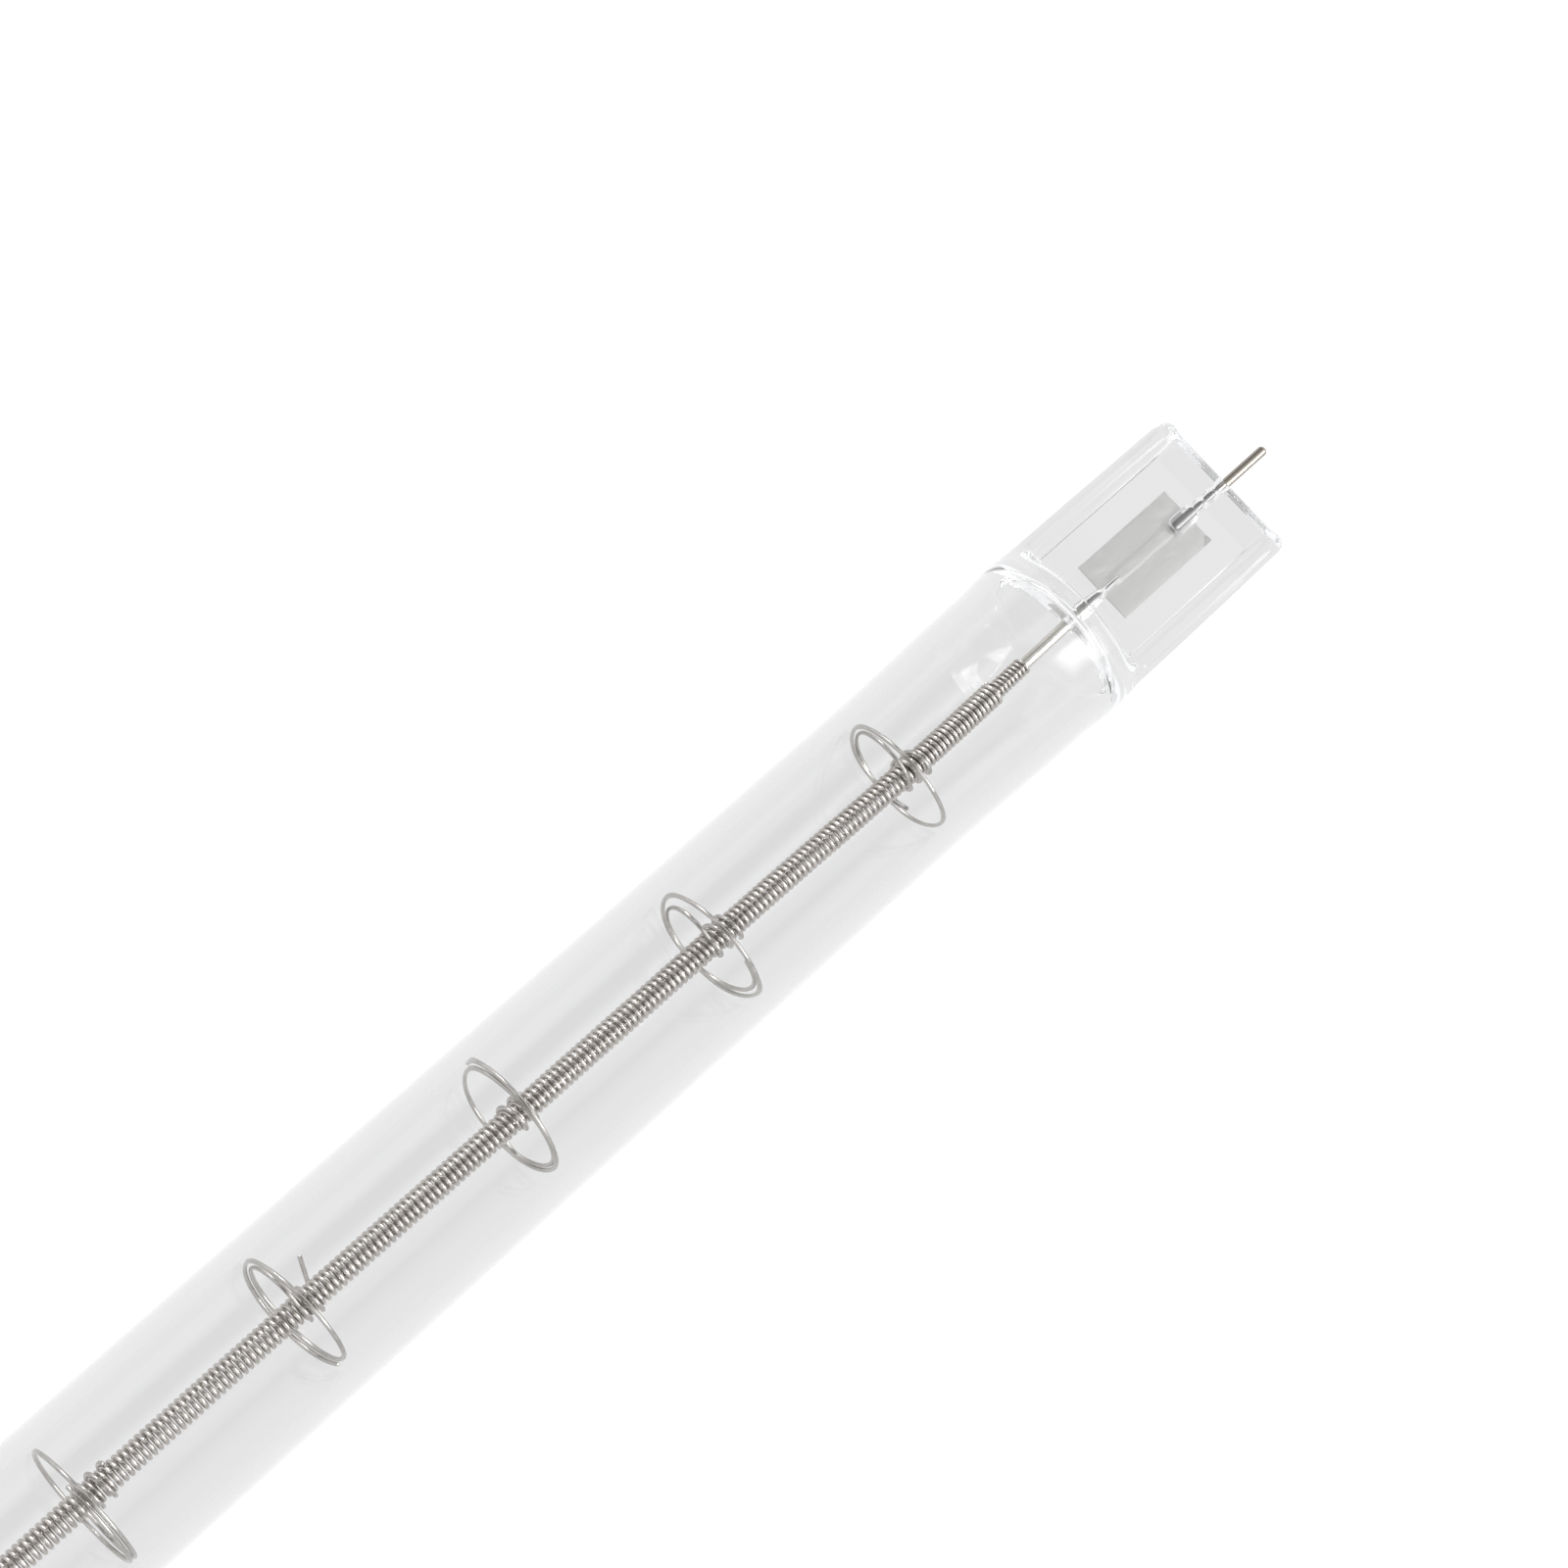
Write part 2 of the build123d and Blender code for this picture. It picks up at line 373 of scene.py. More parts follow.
def quartz_material():
    """Clear fused quartz with faint draw lines.

    Shadow rays, and rays that the glass has already thrown back three times, pass straight through with a
    little loss, so that the shadow stays as light as clear glass leaves it and no ray is lost in the seal.
    """
    material = bpy.data.materials.new("quartz")
    material.use_nodes = True
    nodes, links = material.node_tree.nodes, material.node_tree.links
    glass = nodes["Principled BSDF"]
    glass.inputs["Base Color"].default_value = (0.985, 0.987, 0.99, 1.0)
    glass.inputs["Roughness"].default_value = 0.0
    glass.inputs["IOR"].default_value = 1.458
    glass.inputs["Transmission Weight"].default_value = 1.0
    lines = placed(material, drawn_streaks, Scale=(14.0, 420.0, 420.0), Roughness=0.4)
    bump = nodes.new("ShaderNodeBump")
    bump.inputs["Strength"].default_value = 0.03
    bump.inputs["Distance"].default_value = 0.00002
    links.new(lines.outputs["Value"], bump.inputs["Height"])
    links.new(bump.outputs["Normal"], glass.inputs["Normal"])
    rays = nodes.new("ShaderNodeLightPath")
    clear = nodes.new("ShaderNodeBsdfTransparent")
    clear.inputs["Color"].default_value = (0.93, 0.935, 0.94, 1.0)
    bounces_kept = 2.5
    deep = nodes.new("ShaderNodeMath")
    deep.operation = "GREATER_THAN"
    deep.inputs[1].default_value = bounces_kept
    straight = nodes.new("ShaderNodeMath")
    straight.operation = "MAXIMUM"
    mix = nodes.new("ShaderNodeMixShader")
    links.new(rays.outputs["Glossy Depth"], deep.inputs[0])
    links.new(deep.outputs["Value"], straight.inputs[0])
    links.new(rays.outputs["Is Shadow Ray"], straight.inputs[1])
    links.new(straight.outputs["Value"], mix.inputs[0])
    links.new(glass.outputs["BSDF"], mix.inputs[1])
    links.new(clear.outputs["BSDF"], mix.inputs[2])
    links.new(mix.outputs["Shader"], nodes["Material Output"].inputs["Surface"])
    return material


make_piece("quartz_tube", outer_skin() + cavity_skin() + pin_channel_skin(), ["quartz_envelope"],
           quartz_material())


# The filament is one long close-wound tungsten coil on the tube's axis, between the two spud coils.
# It lies a little to one side near its ends, and its turns are closer where a spud coil is screwed in.
filament_end = 81.7
filament_wire = 0.28
filament_radius = 0.62
filament_pitch = 0.372
spud_tightening, tight_start, tight_end = 0.041, 73.0, 76.0
spud_pitch_step, alone_start, alone_end = 0.028, 81.4, 82.4
winding_end = 85.0
middle_drift, middle_at, middle_reach = 0.16, 22.0, 26.0
end_drift, end_at, end_reach = 0.17, 75.5, 9.0


def coil_drift(x):
    """How far the coil lies to the +Y side of the axis at x: a low bell curve, and one towards each end."""
    middle = middle_drift * bell(x, middle_at, middle_reach)
    return middle - end_drift * bell(x, end_at, end_reach) + end_drift * bell(x, -end_at, end_reach)


def coil_turns(x):
    """Turns of the winding from the tube's middle to x, the running sum of dx / pitch.

    The pitch is tighter over a spud coil, and tighter again where the spud coil runs on alone.
    """
    fine = np.linspace(0.0, winding_end, 3000)
    pitch = filament_pitch - spud_tightening * ease(fine, tight_start, tight_end)
    pitch = pitch - spud_pitch_step * ease(fine, alone_start, alone_end)
    turns = np.concatenate([[0.0], np.cumsum(np.diff(fine) * 2 / (pitch[1:] + pitch[:-1]))])
    return np.sign(x) * np.interp(np.abs(x), fine, turns)


def wire(path, radius, sides):
    """A round wire along a path: rings square to the path's direction, and an edge broken at both cut ends.

    The rings' first axis is square to the direction and to X, which suits wire wound round X.
    """
    along = np.gradient(path, axis=0)
    along /= np.linalg.norm(along, axis=1, keepdims=True)
    out = np.cross(along, np.array([1.0, 0.0, 0.0]))
    out /= np.linalg.norm(out, axis=1, keepdims=True)
    up = np.cross(out, along)
    edge = 0.25 * radius
    before = path[:1] - along[:1] * edge
    after = path[-1:] + along[-1:] * edge
    path = np.concatenate([before, before, path, after, after])
    out = np.concatenate([out[:1], out[:1], out, out[-1:], out[-1:]])
    up = np.concatenate([up[:1], up[:1], up, up[-1:], up[-1:]])
    thick = np.full(len(path), radius)
    thick[[1, -2]] = radius - edge
    thick[[0, -1]] = 0.0
    turn = np.linspace(0, 2 * np.pi, sides, endpoint=False)[None, :, None]
    outward = np.cos(turn) * out[:, None] + np.sin(turn) * up[:, None]
    rings = path[:, None] + thick[:, None, None] * outward
    return rings, grid_faces(len(path), sides)[:, ::-1]


def wound(start, stop, radius, first_turn, steps):
    """Centre line of a right-handed coil round the drifting axis, from x start to x stop.

    Each point stands radius away from the axis, at the winding's turn there plus the first turn.
    """
    fine = np.linspace(start, stop, 4000)
    turns = coil_turns(fine)
    at = np.linspace(turns[0], turns[-1], int((turns[-1] - turns[0]) * steps) + 1)
    x = np.interp(at, turns, fine)
    angle = 2 * np.pi * (at + first_turn)
    return np.stack([x, coil_drift(x) + radius * np.cos(angle), radius * np.sin(angle)], axis=1)


def drawn_metal_group():
    """Colour, roughness and normal of a drawn metal, all after its streaks.

    The colour runs from Dark to Bright and the roughness from Low to High, and Depth is the streaks' height
    in metres.
    """
    group, given, out = shader_group(
        "drawn_metal",
        {"Streaks": "Float", "Bright": "Color", "Dark": "Color", "Low": "Float", "High": "Float",
         "Depth": "Float"},
        {"Color": "Color", "Roughness": "Float", "Normal": "Vector"})
    nodes, links = group.nodes, group.links
    tone = nodes.new("ShaderNodeMix")
    tone.data_type = "RGBA"
    rough = nodes.new("ShaderNodeMapRange")
    rough.inputs["From Min"].default_value = 0.25
    rough.inputs["From Max"].default_value = 0.75
    bump = nodes.new("ShaderNodeBump")
    bump.inputs["Strength"].default_value = 0.4
    for name, socket in (("Dark", tone.inputs["A"]), ("Bright", tone.inputs["B"]),
                         ("Low", rough.inputs["To Min"]), ("High", rough.inputs["To Max"]),
                         ("Depth", bump.inputs["Distance"]), ("Streaks", tone.inputs["Factor"]),
                         ("Streaks", rough.inputs["Value"]), ("Streaks", bump.inputs["Height"])):
        links.new(given.outputs[name], socket)
    links.new(tone.outputs["Result"], out.inputs["Color"])
    links.new(rough.outputs["Result"], out.inputs["Roughness"])
    links.new(bump.outputs["Normal"], out.inputs["Normal"])
    return group


drawn_metal = drawn_metal_group()


def metal_material(name, bright, dark, roughness, scale, depth):
    """A drawn metal between two tones and two values of roughness, its streaks scaled along and across."""
    material = bpy.data.materials.new(name)
    material.use_nodes = True
    links = material.node_tree.links
    metal = material.node_tree.nodes["Principled BSDF"]
    metal.inputs["Metallic"].default_value = 1.0
    along, across = scale
    lines = placed(material, drawn_streaks, Scale=(along, across, across), Roughness=0.6)
    drawn = placed(material, drawn_metal, Bright=(*bright, 1.0), Dark=(*dark, 1.0), Low=roughness[0],
                   High=roughness[1], Depth=depth)
    links.new(lines.outputs["Value"], drawn.inputs["Streaks"])
    links.new(drawn.outputs["Color"], metal.inputs["Base Color"])
    links.new(drawn.outputs["Roughness"], metal.inputs["Roughness"])
    links.new(drawn.outputs["Normal"], metal.inputs["Normal"])
    return material


tungsten = metal_material("tungsten", (0.75, 0.715, 0.68), (0.38, 0.355, 0.33), (0.14, 0.26),
                          (900.0, 2600.0), 4e-6)
filament_line = wound(-filament_end, filament_end, filament_radius, 0.0, 18)
make_piece("filament", [wire(filament_line, filament_wire / 2, 8)], ["filament_coil"], tungsten)


# Each spud coil is finer tungsten wire, close-wound on the lead and screwed into the filament's end, so
# that its turns lie half a turn from the filament's, in the grooves between them.
spud_start = 73.8
spud_end = 84.2
spud_wire = 0.19
spud_radius = 0.455
for side, start, stop in (("right", spud_start, spud_end), ("left", -spud_end, -spud_start)):
    spud_line = wound(start, stop, spud_radius, 0.5, 24)
    make_piece("spud_coil_" + side, [wire(spud_line, spud_wire / 2, 8)], ["spud_coil_" + side],
               tungsten)


# The inner lead is a bright molybdenum rod, one end in the spud coil and the other, pinched, on the foil.
# The contact pin on the foil's outer end is the same metal, darker in the open air, round at its tip and a
# little aslant. Both are welded to the foil. In the seal both are darker and duller, partly from the oxide
# that the heat of the sealing left and partly as painted shade for how dim the metal shows inside the glass.
lead_start, lead_end, lead_radius = 74.4, 92.7, 0.35
drift_start, drift_end = 86.0, 91.0
pin_start, pin_end, pin_radius = 97.5, 106.0, 0.3
aslant, aslant_start, aslant_end = 0.05, 99.0, 102.5


def lead_drift(x):
    """The lead follows the coil to one side, and comes back to the axis before the foil."""
    return coil_drift(x) * (1 - ease(x, drift_start, drift_end))


def pin_drift(x):
    """The pin comes out of the seal a little to the -Y side."""
    return -aslant * ease(x, aslant_start, aslant_end)


def rod(start, stop, radius, start_round, stop_round, height, drift, pinched=0.0):
    """A round rod along X: its radius falls as a quarter circle over each rounded end.

    The rod may be pinched: from 2.0 to 1.2 mm before its outer end, its half width and its top draw in by
    that share, while its underside stays where it is, on the foil.
    """
    straight = 38
    turn = np.radians(np.linspace(0, 90, 9))
    along = np.concatenate([
        start + start_round * (1 - np.cos(turn)),
        np.linspace(start + start_round, stop - stop_round, straight + 2)[1:-1],
        stop - stop_round + stop_round * np.sin(turn),
    ])
    thick = np.concatenate([
        radius - start_round + start_round * np.sin(turn),
        np.full(straight, radius),
        radius - stop_round + stop_round * np.cos(turn),
    ])
    middle = drift(along)
    around = np.linspace(0, 2 * np.pi, 40, endpoint=False)
    along = np.concatenate([along[:1], along, along[-1:]])
    middle = np.concatenate([middle[:1], middle, middle[-1:]])
    thick = np.concatenate([[0.0], thick, [0.0]])
    drawn = pinched * ease(along, stop - 2.0, stop - 1.2)
    thick = thick * (1 - drawn)
    y = middle[:, None] + thick[:, None] * np.cos(around)
    z = height - (radius * drawn)[:, None] + thick[:, None] * np.sin(around)
    rings = np.stack(np.broadcast_arrays(along[:, None], y, z), axis=-1)
    return rings, grid_faces(*rings.shape[:2])


def dulled_and_shaded_group():
    """A metal's colour and roughness, and a duller pair laid over them, its darker colour part painted
    shade.

    The share of the duller pair runs smoothly from 0 at Start to 1 at Stop, both in metres from the tube's
    middle towards either end.
    """
    group, given, out = shader_group(
        "dulled_and_shaded_in_seal",
        {"Color": "Color", "Roughness": "Float", "Dull Color": "Color", "Dull Roughness": "Float",
         "Start": "Float", "Stop": "Float"},
        {"Color": "Color", "Roughness": "Float"})
    nodes, links = group.nodes, group.links
    place = nodes.new("ShaderNodeTexCoord")
    parts = nodes.new("ShaderNodeSeparateXYZ")
    outward = nodes.new("ShaderNodeMath")
    outward.operation = "ABSOLUTE"
    share = nodes.new("ShaderNodeMapRange")
    share.interpolation_type = "SMOOTHSTEP"
    links.new(place.outputs["Object"], parts.inputs[0])
    links.new(parts.outputs["X"], outward.inputs[0])
    links.new(outward.outputs["Value"], share.inputs["Value"])
    links.new(given.outputs["Start"], share.inputs["From Min"])
    links.new(given.outputs["Stop"], share.inputs["From Max"])
    for name, kind in (("Color", "RGBA"), ("Roughness", "FLOAT")):
        blend = nodes.new("ShaderNodeMix")
        blend.data_type = kind
        links.new(share.outputs["Result"], blend.inputs["Factor"])
        links.new(given.outputs[name], blend.inputs["A"])
        links.new(given.outputs["Dull " + name], blend.inputs["B"])
        links.new(blend.outputs["Result"], out.inputs[name])
    return group


dulled_and_shaded_in_seal = dulled_and_shaded_group()


def dull_and_shade_inside_seal(material, start, stop, color, roughness):
    """Dulls a metal to that colour and roughness, from start to stop mm from the tube's middle."""
    # The duller colour laid on is partly oxide and partly painted shade.
    links = material.node_tree.links
    metal = material.node_tree.nodes["Principled BSDF"]
    dull_and_shade = placed(material, dulled_and_shaded_in_seal, Dull_Color=(*color, 1.0), Dull_Roughness=roughness,
                  Start=0.001 * start, Stop=0.001 * stop)
    for name, socket in (("Color", metal.inputs["Base Color"]), ("Roughness", metal.inputs["Roughness"])):
        links.new(socket.links[0].from_socket, dull_and_shade.inputs[name])
        links.new(dull_and_shade.outputs[name], socket)


lead_metal = metal_material("lead_molybdenum", (0.67, 0.64, 0.585), (0.6, 0.58, 0.53), (0.28, 0.32),
                            (120.0, 900.0), 2e-7)
# Inside the seal the lead turns darker and rougher: partly oxide, partly painted shade.
dull_and_shade_inside_seal(lead_metal, 87.0, 89.2, (0.36, 0.36, 0.35), 0.65)
pin_metal = metal_material("pin_molybdenum", (0.38, 0.345, 0.3), (0.27, 0.245, 0.215), (0.22, 0.34),
                           (160.0, 2600.0), 2e-6)
# Inside the seal the pin turns darker and rougher: partly oxide, partly painted shade.
dull_and_shade_inside_seal(pin_metal, 101.9, 101.3, (0.26, 0.255, 0.255), 0.6)
lead_shell = rod(lead_start, lead_end, lead_radius, start_round=0.1, stop_round=0.06, height=0.0,
                 drift=lead_drift, pinched=0.6)
pin_shell = rod(pin_start, pin_end, pin_radius, start_round=0.05, stop_round=0.24, height=pin_height,
                drift=pin_drift)
for side, place in (("right", lambda points: points), ("left", other_end)):
    make_piece("inner_lead_" + side, [(place(lead_shell[0]), lead_shell[1])],
               ["inner_lead_" + side], lead_metal)
    make_piece("contact_pin_" + side, [(place(pin_shell[0]), pin_shell[1])],
               ["contact_pin_" + side], pin_metal)


# The foil is rolled molybdenum, etched thin along its long edges so that the quartz seals on it.
# A shallow flat ridge joins the lead to the pin, and one outer corner was crumpled in the pressing.
foil_start, foil_end, foil_half_width = 91.2, 98.9, 2.0
foil_middle_height = -0.397
foil_edge, foil_swell = 0.004, 0.034
ridge_height = 0.016
ridge_near_side, ridge_far_side = (-0.34, -0.12), (0.34, 0.58)
ridge_inner_end, ridge_outer_end = (91.9, 92.6), (97.4, 98.0)
wave_height = 0.006
crumple_height, crumple_ripple = 0.12, 0.05


def plateau(value, rise, fall):
    """1 on the plateau and 0 off it, eased over its rise and its fall."""
    return ease(value, *rise) * (1 - ease(value, *fall))


def foil_shell():
    """The foil as rings of points, over its top and back along its underside, closed at both ends.

    Its swell over the edges' thickness is 1 less the sixth power of the way to the edge. Its middle carries
    the eased ridge, waves as a product of sines, and the crumpled corner, which rises and ripples.
    """
    rows = np.linspace(foil_start, foil_end, 120)
    columns = foil_half_width * np.sin(np.radians(np.linspace(-90, 90, 81)))
    x, y = np.meshgrid(rows, columns, indexing="ij")
    ridge = ridge_height * plateau(y, ridge_near_side, ridge_far_side)
    ridge = ridge * plateau(x, ridge_inner_end, ridge_outer_end)
    waves = wave_height * np.sin(1.1 * x + 0.8 * y) * np.sin(0.9 * y)
    corner = ease(0.75 * (x - foil_end) - 0.9 * (y + foil_half_width), -0.55, 0.15)
    crumple = corner * (crumple_height + crumple_ripple * np.sin(9.0 * (x - y)))
    thick = foil_edge + foil_swell * (1 - (np.abs(y) / foil_half_width) ** 6)
    middle = foil_middle_height + ridge + waves + crumple
    top = np.stack([x, y, middle + thick / 2], axis=-1)
    bottom = np.stack([x, y, middle - thick / 2], axis=-1)
    rings = np.concatenate([top, bottom[:, ::-1]], axis=1)
    ring_count, ring_size = rings.shape[:2]
    across = np.arange(len(columns) - 1)
    ends = []
    for ring, flip in ((0, False), (ring_count - 1, True)):
        over = ring * ring_size + across
        under = (ring + 1) * ring_size - 1 - across
        quads = np.stack([over, over + 1, under - 1, under], axis=1)
        ends.append(quads[:, ::-1] if flip else quads)
    return rings, np.concatenate([grid_faces(ring_count, ring_size)[:, ::-1], *ends])


foil_metal = metal_material("foil_molybdenum", (0.79, 0.79, 0.775), (0.68, 0.68, 0.665), (0.35, 0.45),
                            (500.0, 2600.0), 4e-6)
foil_points, foil_faces = foil_shell()
for side, points in (("right", foil_points), ("left", other_end(foil_points))):
    make_piece("foil_" + side, [(points, foil_faces)], ["foil_" + side], foil_metal)


# Each wire support is one bright wire: it springs against the tube in a ring of about a turn and a half,
# closes in along a spoke and grips the filament with its last turns. Five shapes follow each other along
# the tube, because each was bent and fitted by hand. One of them ends in a straight tail.
support_wire = 0.25
support_pitch = 14.7
support_count = 11
grip_radius = 0.88
grip_pitch = 0.78
tail_climb = 0.45
degrees_per_ring = 6
# Station's slip along the tube; ring's first and last radius, and its centre's y and z; climb per turn;
# lean in degrees at the top and the side, and how each grows per turn; angles in degrees of the free end,
# the spoke's start and the grip's start; turns of the grip; length of the tail.
shapes = (
    (0.28, 3.55, 3.648, 0.03, -0.207, -0.05, 6.9, 4.5, -0.8, -7.1, 240.0, 679.0, 857.0, 2.2, 0.0),
    (-0.32, 3.146, 3.76, -0.03, 0.3, 0.1, -0.4, 4.9, 0.6, -3.9, 129.0, 662.0, 808.0, 2.3, 0.0),
    (-0.2, 3.598, 3.164, 0.2, 0.17, -0.05, -3.0, -2.8, -0.6, 3.0, 12.0, 597.0, 657.0, 2.1, 0.0),
    (-0.6, 3.651, 3.323, 0.18, -0.208, 0.17, -2.8, 3.3, 1.3, -0.2, 193.0, 704.0, 811.4, 1.496, 2.1),
    (-0.1, 3.575, 3.575, 0.0, 0.0, 0.3, 1.0, 1.0, 0.0, 0.0, 75.0, 560.0, 686.0, 2.2, 0.0),
)


def support_line(station, shape):
    """Centre line of a support against the angle along its wire, as in the CAD model.

    The ring's radius runs evenly from its first to its last value, then eases to the grip over the spoke,
    while the ring's own centre, climb and lean fade out and the coil's drift fades in. The tail runs on
    straight from the grip's end.
    """
    (slip, first_radius, last_radius, centre_y, centre_z, climb, top, side, top_growth, side_growth,
     free_end, spoke, grip, grip_turns, tail) = shape
    stop = grip + 360.0 * grip_turns
    angle = np.linspace(free_end, stop, int((stop - free_end) / degrees_per_ring))
    turns = (angle - free_end) / 360.0
    inward = ease(angle, spoke, grip)
    along_ring = np.clip((angle - free_end) / (spoke - free_end), 0, 1)
    ring = first_radius + (last_radius - first_radius) * along_ring
    radius = ring + inward * (grip_radius - ring)
    y = radius * np.cos(np.radians(angle)) + centre_y * (1 - inward)
    z = radius * np.sin(np.radians(angle)) + centre_z * (1 - inward)
    lean = z * np.tan(np.radians(top + top_growth * turns))
    lean = lean + y * np.tan(np.radians(side + side_growth * turns))
    gripped = np.clip(angle - grip, 0.0, None) / 360.0
    x = station + slip + climb * turns + (grip_pitch - climb) * gripped - (1 - inward) * lean
    line = np.stack([x, y + coil_drift(x) * inward, z], axis=1)
    if tail:
        onward = (line[-1] - line[-2]) / np.linalg.norm(line[-1] - line[-2])
        onward[0] = tail_climb
        line = np.concatenate([line, line[-1] + onward * np.linspace(0.1, tail, 12)[:, None]])
    return line


support_metal = metal_material("support_wire", (0.58, 0.56, 0.53), (0.41, 0.395, 0.375), (0.11, 0.21),
                               (2600.0, 2600.0), 2e-6)
for index in range(support_count):
    station = ((support_count - 1) / 2 - index) * support_pitch
    line = support_line(station, shapes[index % len(shapes)])
    number = f"{index + 1:02d}"
    make_piece("wire_support_" + number, [wire(line, support_wire / 2, 10)],
               ["support_" + number], support_metal)


# The tube lies on a white studio table, in metres from here on. The table shows white to the camera, pale
# in what the glass and metal reflect and a little greyer through the glass, as painted shade for the table
# under the tube, and keeps a faint shadow.
table_height = -0.004995
table_reach = 1.5
glow_share = 0.85
table = bpy.data.meshes.new("table")
corners = ((-1, -1), (1, -1), (1, 1), (-1, 1))
table.from_pydata([(table_reach * x, table_reach * y, table_height) for x, y in corners], [], [(0, 1, 2, 3)])
table_top = bpy.data.objects.new("table", table)
bpy.context.scene.collection.objects.link(table_top)
white = bpy.data.materials.new("table_white")
white.use_nodes = True
nodes, links = white.node_tree.nodes, white.node_tree.links
nodes.clear()
rays = nodes.new("ShaderNodeLightPath")
paper = nodes.new("ShaderNodeBsdfDiffuse")
paper.inputs["Color"].default_value = (0.8, 0.8, 0.8, 1.0)
shown = paper.outputs["BSDF"]
for ray, color in (
        ("Is Glossy Ray", (1.12, 1.12, 1.12, 1.0)),
        # Through the glass the table is greyer: a painted shade for the table under the tube.
        ("Is Transmission Ray", (0.755, 0.752, 0.75, 1.0)),
        ("Is Camera Ray", (1.15, 1.15, 1.15, 1.0)),
):
    share = nodes.new("ShaderNodeMath")
    share.operation = "MULTIPLY"
    share.inputs[1].default_value = glow_share
    glow = nodes.new("ShaderNodeEmission")
    glow.inputs["Color"].default_value = color
    mix = nodes.new("ShaderNodeMixShader")
    links.new(rays.outputs[ray], share.inputs[0])
    links.new(share.outputs["Value"], mix.inputs[0])
    links.new(shown, mix.inputs[1])
    links.new(glow.outputs["Emission"], mix.inputs[2])
    shown = mix.outputs["Shader"]
out = nodes.new("ShaderNodeOutputMaterial")
links.new(shown, out.inputs["Surface"])
table.materials.append(white)


# The studio is a pale tent. A dark slit runs along the tube overhead, where the camera hangs, with a grey
# patch on each side of it and one past the pictured end on the +Y side. A lit patch past that end on the
# -Y side, cut off square, gives the white glint beside the lead.
tent = (1.05, 1.05, 1.06, 1.0)
world = bpy.data.worlds.new("studio")
bpy.context.scene.world = world
world.use_nodes = True
nodes, links = world.node_tree.nodes, world.node_tree.links
nodes.clear()
toward = nodes.new("ShaderNodeTexCoord")
parts = nodes.new("ShaderNodeSeparateXYZ")
links.new(toward.outputs["Generated"], parts.inputs[0])


def fade(source, low, high):
    """A node whose value runs from 0 at low to 1 at high as source does, smoothly."""
    ramp = nodes.new("ShaderNodeMapRange")
    ramp.interpolation_type = "SMOOTHSTEP"
    ramp.inputs["From Min"].default_value = low
    ramp.inputs["From Max"].default_value = high
    links.new(source, ramp.inputs["Value"])
    return ramp.outputs["Result"]


def joined(operation, first, second=None):
    """A Math node on one or two values."""
    node = nodes.new("ShaderNodeMath")
    node.operation = operation
    links.new(first, node.inputs[0])
    if second:
        links.new(second, node.inputs[1])
    return node.outputs["Value"]


def blended(factor, below, shade):
    """Colour shade laid by a factor over the colour below, or over the tent's own colour."""
    node = nodes.new("ShaderNodeMix")
    node.data_type = "RGBA"
    node.inputs["A"].default_value = tent
    node.inputs["B"].default_value = shade
    if below:
        links.new(below, node.inputs["A"])
    links.new(factor, node.inputs["Factor"])
    return node.outputs["Result"]


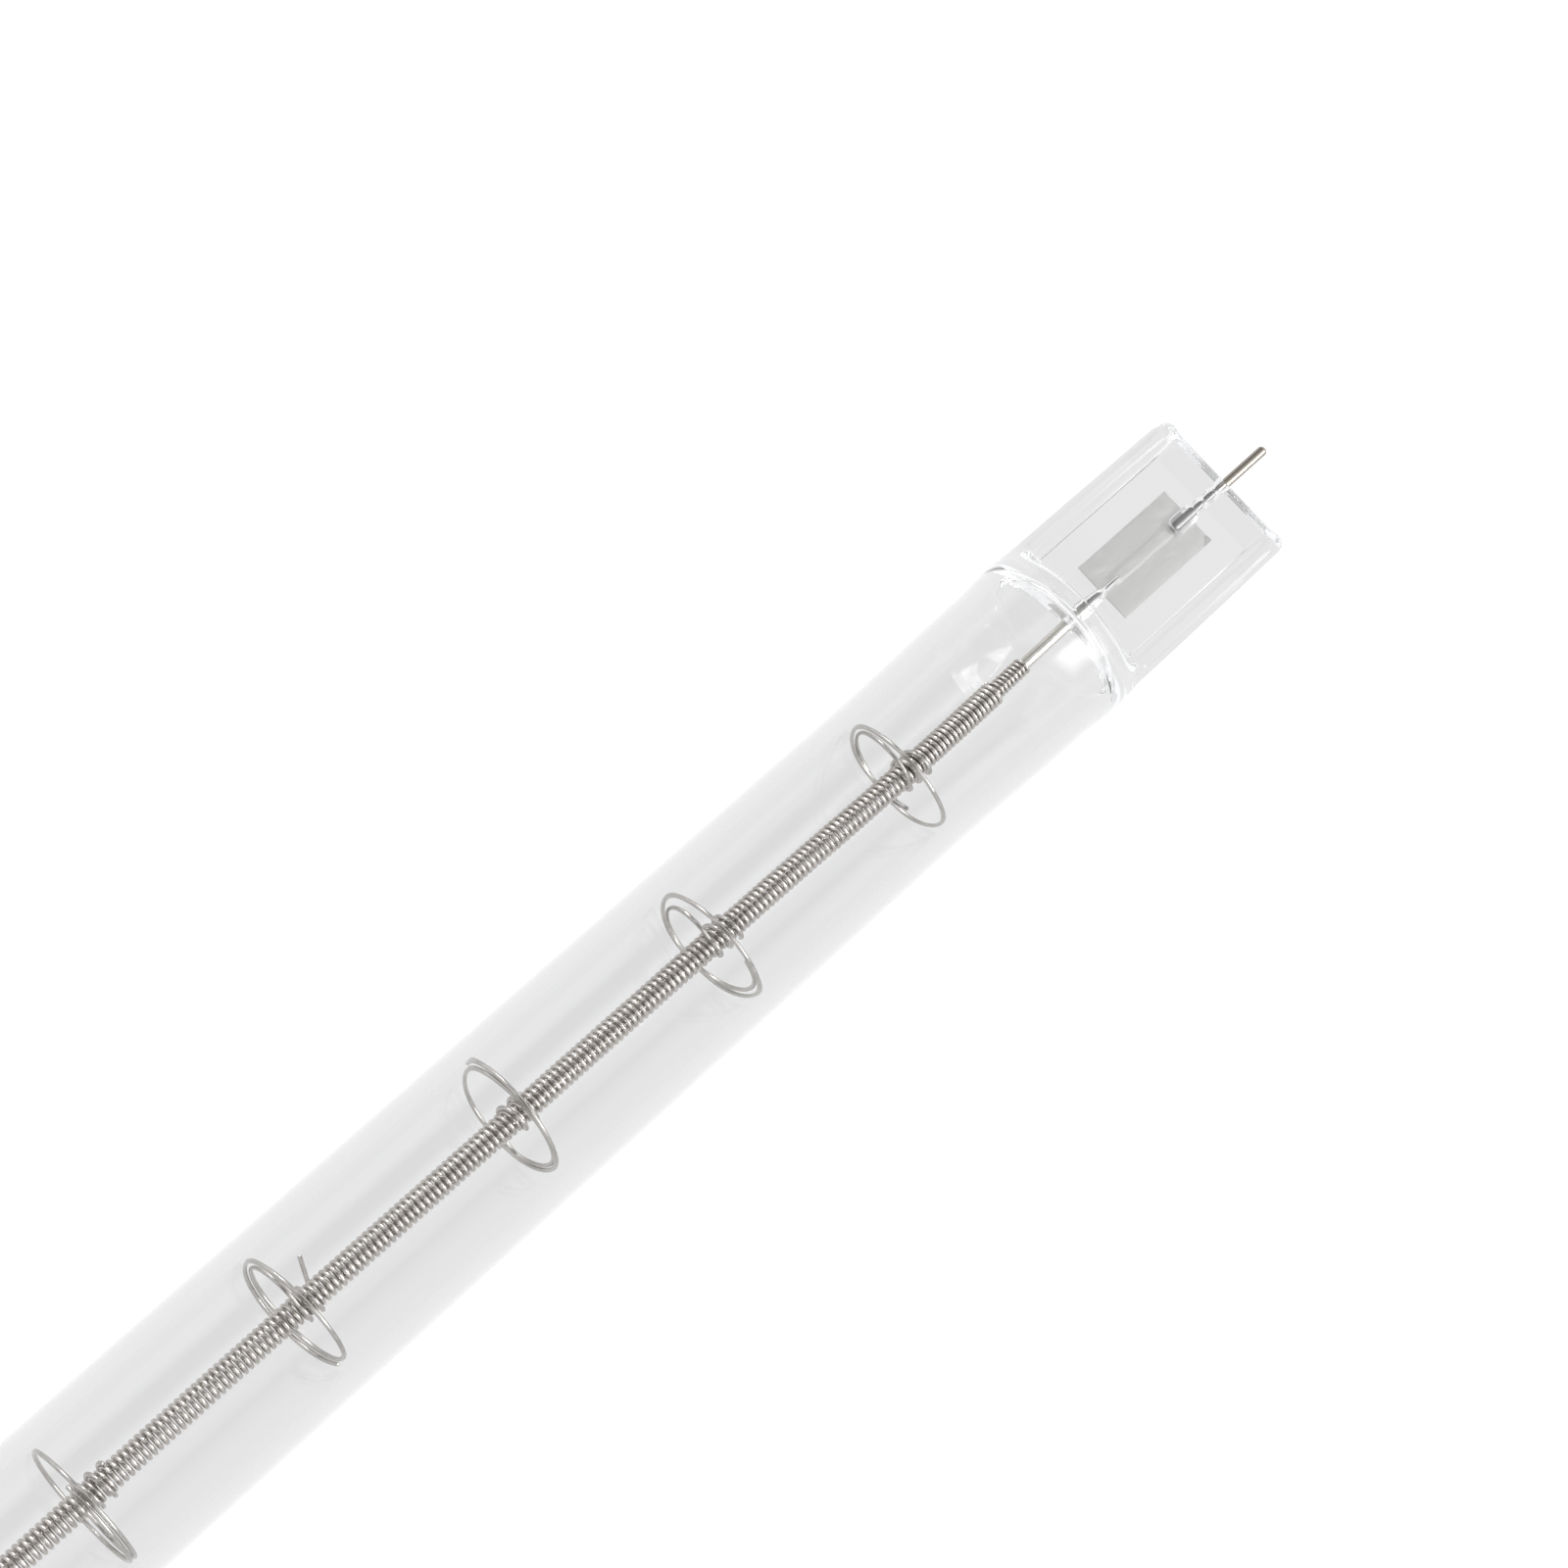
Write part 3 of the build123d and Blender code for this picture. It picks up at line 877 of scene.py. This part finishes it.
sideways = joined("ABSOLUTE", parts.outputs["Y"])
slit = joined("MULTIPLY", fade(sideways, 0.34, 0.14), fade(parts.outputs["Z"], 0.2, 0.5))
slit = joined("MULTIPLY", slit, fade(parts.outputs["X"], 0.50, 0.44))
past_end = fade(parts.outputs["X"], 0.485, 0.53)
tone = blended(slit, None, (0.3, 0.295, 0.29, 1.0))
for direction, edge, inner, shade, cut_off in (
        ((0.18, 0.64, 0.75), 0.93, 0.98, (0.35, 0.35, 0.36, 1.0), None),
        ((0.18, -0.85, 0.5), 0.93, 0.98, (0.35, 0.35, 0.36, 1.0), None),
        ((0.56, 0.62, 0.55), 0.93, 0.965, (0.3, 0.3, 0.3, 1.0), None),
        ((0.55, -0.54, 0.64), 0.945, 0.985, (5.0, 5.0, 4.9, 1.0), past_end),
):
    facing = nodes.new("ShaderNodeVectorMath")
    facing.operation = "DOT_PRODUCT"
    facing.inputs[1].default_value = Vector(direction).normalized()
    links.new(toward.outputs["Generated"], facing.inputs[0])
    place = fade(facing.outputs["Value"], edge, inner)
    if cut_off:
        place = joined("MULTIPLY", place, cut_off)
    tone = blended(place, tone, shade)
rays = nodes.new("ShaderNodeLightPath")
background = nodes.new("ShaderNodeBackground")
out = nodes.new("ShaderNodeOutputWorld")
links.new(blended(rays.outputs["Is Camera Ray"], tone, (1.0, 1.0, 1.0, 1.0)), background.inputs["Color"])
links.new(background.outputs["Background"], out.inputs["Surface"])

# Two soft lamps, one on each side, light only the metal: the far one the wires, and the near one the wires,
# the leads and the pins.
wires = bpy.data.collections.new("wires")
metals = bpy.data.collections.new("metals")
for piece in bpy.context.scene.collection.objects:
    if piece.name.startswith(("filament", "spud", "wire")):
        wires.objects.link(piece)
        metals.objects.link(piece)
    if piece.name.startswith(("inner", "contact")):
        metals.objects.link(piece)
for name, direction, strength, lit in (("lamp_far", (0.3, 0.77, 0.56), 6.0, wires),
                                       ("lamp_near", (0.3, -0.77, 0.56), 5.5, metals)):
    light = bpy.data.lights.new(name, "SUN")
    light.energy = strength
    light.angle = math.radians(12)
    lamp = bpy.data.objects.new(name, light)
    bpy.context.scene.collection.objects.link(lamp)
    lamp.rotation_euler = Vector(direction).to_track_quat("Z", "Y").to_euler()
    lamp.visible_transmission = False
    lamp.light_linking.receiver_collection = lit

# The camera stands almost above the tube, a little inboard of the pictured end, and looks along its lean.
camera_right = Vector((0.69179, -0.68028, 0.24218))
camera_up = Vector((0.60883, 0.72983, 0.31092))
camera_back = camera_right.cross(camera_up)
camera = bpy.data.objects.new("camera", bpy.data.cameras.new("camera"))
bpy.context.scene.collection.objects.link(camera)
camera.data.lens = 78.67
camera.data.sensor_width = 36.0
camera.data.clip_start = 0.01
camera.data.clip_end = 10.0
turn = Matrix((camera_right, camera_up, camera_back)).transposed().to_4x4()
camera.matrix_world = Matrix.Translation((-0.005064, -0.008956, 0.17425)) @ turn
bpy.context.scene.camera = camera
bpy.context.scene.view_settings.view_transform = "Standard"
